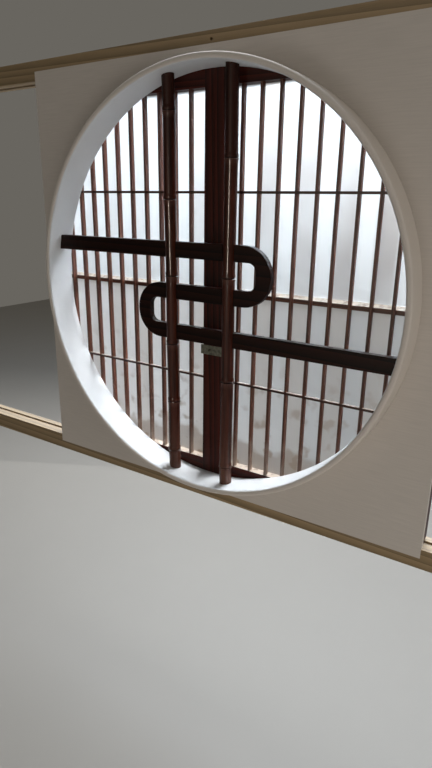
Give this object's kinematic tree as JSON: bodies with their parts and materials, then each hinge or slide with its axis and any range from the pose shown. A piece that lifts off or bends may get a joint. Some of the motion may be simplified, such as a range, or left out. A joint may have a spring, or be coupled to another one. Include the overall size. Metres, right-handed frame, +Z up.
{
  "type": "round window",
  "caption": "Round window: white round lining, two sliding lattice sashes with frosted panes behind it, two bamboo poles and a board that turns back on itself in front.",
  "frame": {"origin": "centre of the round opening, in the plane of the frame's front faces, which lie on the back of the wall", "axes": "+X along the tracks to the right as seen from the room, +Y away from the room, +Z up"},
  "size_m": [1.836, 0.112, 0.97],
  "materials": {
    "plaster": "matte",
    "painted_board": "matte paint",
    "softwood": "planed, unfinished",
    "bamboo": "smoked, waxed",
    "dark_board": "dark stain, satin",
    "stained_frame": "red-brown stain, satin",
    "stained_slats": "brown stain, faded",
    "frosted_glass": "frosted",
    "lock_metal": "dull, aged",
    "steel_screws": "plain"
  },
  "bodies": {
    "frame": {"lining_ring": "plaster", "backing_board": "painted_board", "head_track": "softwood", "sill_track": "softwood", "left_jamb": "softwood", "right_jamb": "softwood", "centre_stop": "softwood", "left_bamboo_pole": "bamboo", "right_bamboo_pole": "bamboo", "scroll_board": "dark_board", "lap_screws": "steel_screws", "board_screws": "steel_screws", "frame_screws": "steel_screws"},
    "left_sash": {"left_meeting_stile": "stained_frame", "left_outer_stile": "stained_frame", "left_top_rail": "stained_frame", "left_bottom_rail": "stained_frame", "left_middle_rail": "stained_frame", "left_upper_pane": "frosted_glass", "left_lower_pane": "frosted_glass", "left_upper_beads": "stained_frame", "left_lower_beads": "stained_frame", "left_upper_tie_bar": "stained_slats", "left_lower_tie_bar": "stained_slats", "left_slat_1": "stained_slats", "left_slat_2": "stained_slats", "left_slat_3": "stained_slats", "left_slat_4": "stained_slats", "left_slat_5": "stained_slats", "left_slat_6": "stained_slats", "left_slat_7": "stained_slats", "left_slat_8": "stained_slats", "left_slat_9": "stained_slats", "left_slat_10": "stained_slats", "lock_case": "lock_metal", "lock_case_screws": "lock_metal"},
    "right_sash": {"right_meeting_stile": "stained_frame", "right_outer_stile": "stained_frame", "right_top_rail": "stained_frame", "right_bottom_rail": "stained_frame", "right_middle_rail": "stained_frame", "right_upper_pane": "frosted_glass", "right_lower_pane": "frosted_glass", "right_upper_beads": "stained_frame", "right_lower_beads": "stained_frame", "right_upper_tie_bar": "stained_slats", "right_lower_tie_bar": "stained_slats", "right_slat_1": "stained_slats", "right_slat_2": "stained_slats", "right_slat_3": "stained_slats", "right_slat_4": "stained_slats", "right_slat_5": "stained_slats", "right_slat_6": "stained_slats", "right_slat_7": "stained_slats", "right_slat_8": "stained_slats", "right_slat_9": "stained_slats", "right_slat_10": "stained_slats", "lock_keeper": "lock_metal", "lock_keeper_screws": "lock_metal"},
    "latch": {"lock_hook": "lock_metal"}
  },
  "joints": [
    {"name": "left_sash_slide", "type": "slide", "parent": "frame", "child": "left_sash", "axis": [-1, 0, 0], "range_m": [0, 0.4]},
    {"name": "right_sash_slide", "type": "slide", "parent": "frame", "child": "right_sash", "axis": [1, 0, 0], "range_m": [0, 0.4]},
    {"name": "lock_turn", "type": "hinge", "parent": "left_sash", "child": "latch", "pos_m": [-0.004, 0.018, -0.133], "axis": [0, 1, 0], "range_deg": [0, 110]}
  ]
}
